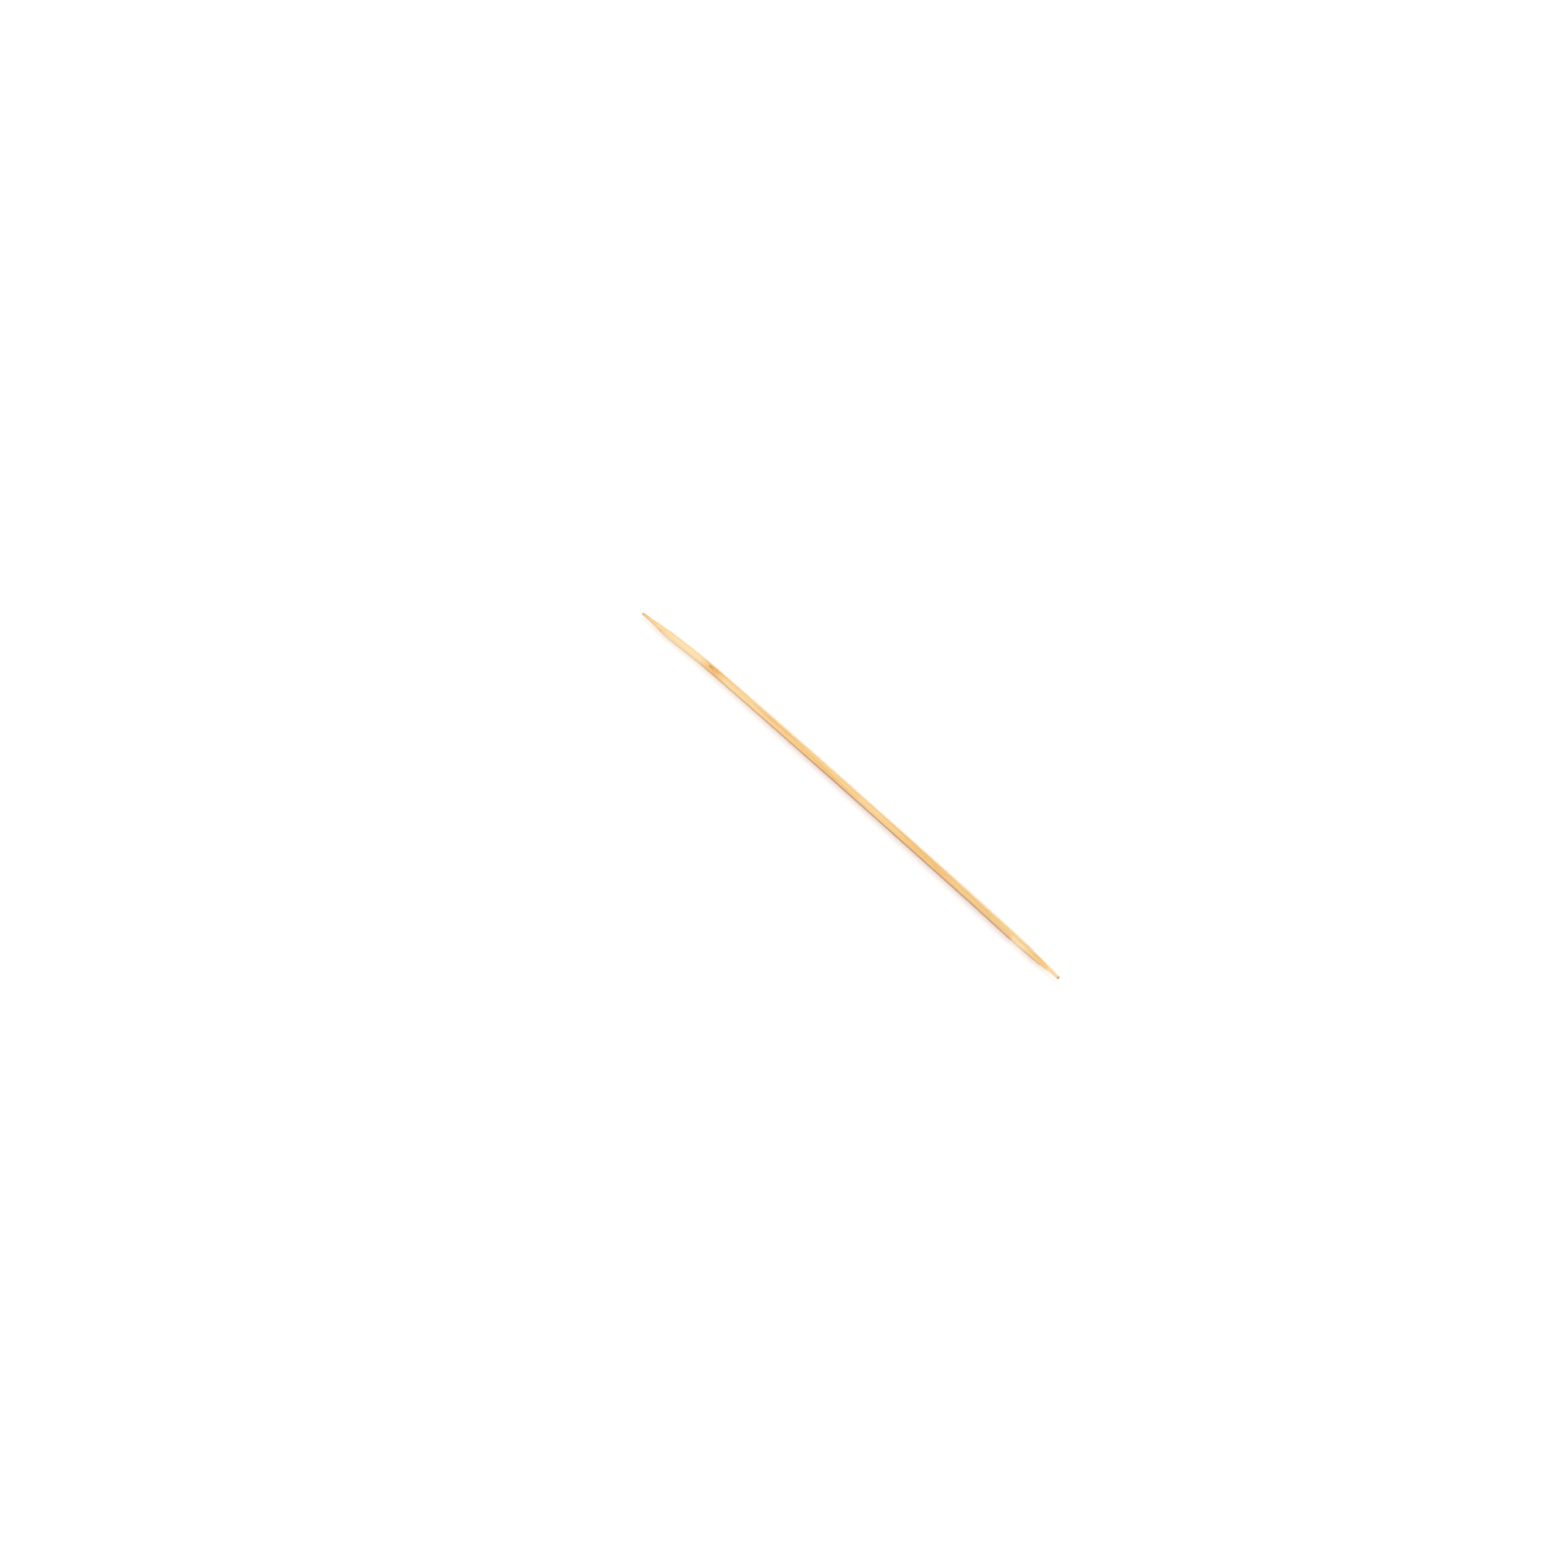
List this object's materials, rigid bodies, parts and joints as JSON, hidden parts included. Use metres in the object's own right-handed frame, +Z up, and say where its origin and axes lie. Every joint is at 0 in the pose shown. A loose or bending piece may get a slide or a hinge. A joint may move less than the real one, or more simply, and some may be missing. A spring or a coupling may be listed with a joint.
{
  "type": "bamboo stick",
  "caption": "Slim round bamboo stick ground to a long point at both ends, each with a small blunt nib, for holding food or crafts.",
  "frame": {"origin": "under the middle of the stick's box, on the surface it lies on", "axes": "+X along the stick to its longer point, +Y the side toward which it bows, +Z up"},
  "size_m": [0.2, 0.0034, 0.0025],
  "materials": {
    "bamboo": "die-drawn raw bamboo, dry and unvarnished, with a faint silky fibre sheen"
  },
  "bodies": {
    "root": {"bamboo_stick": "bamboo"}
  },
  "joints": []
}
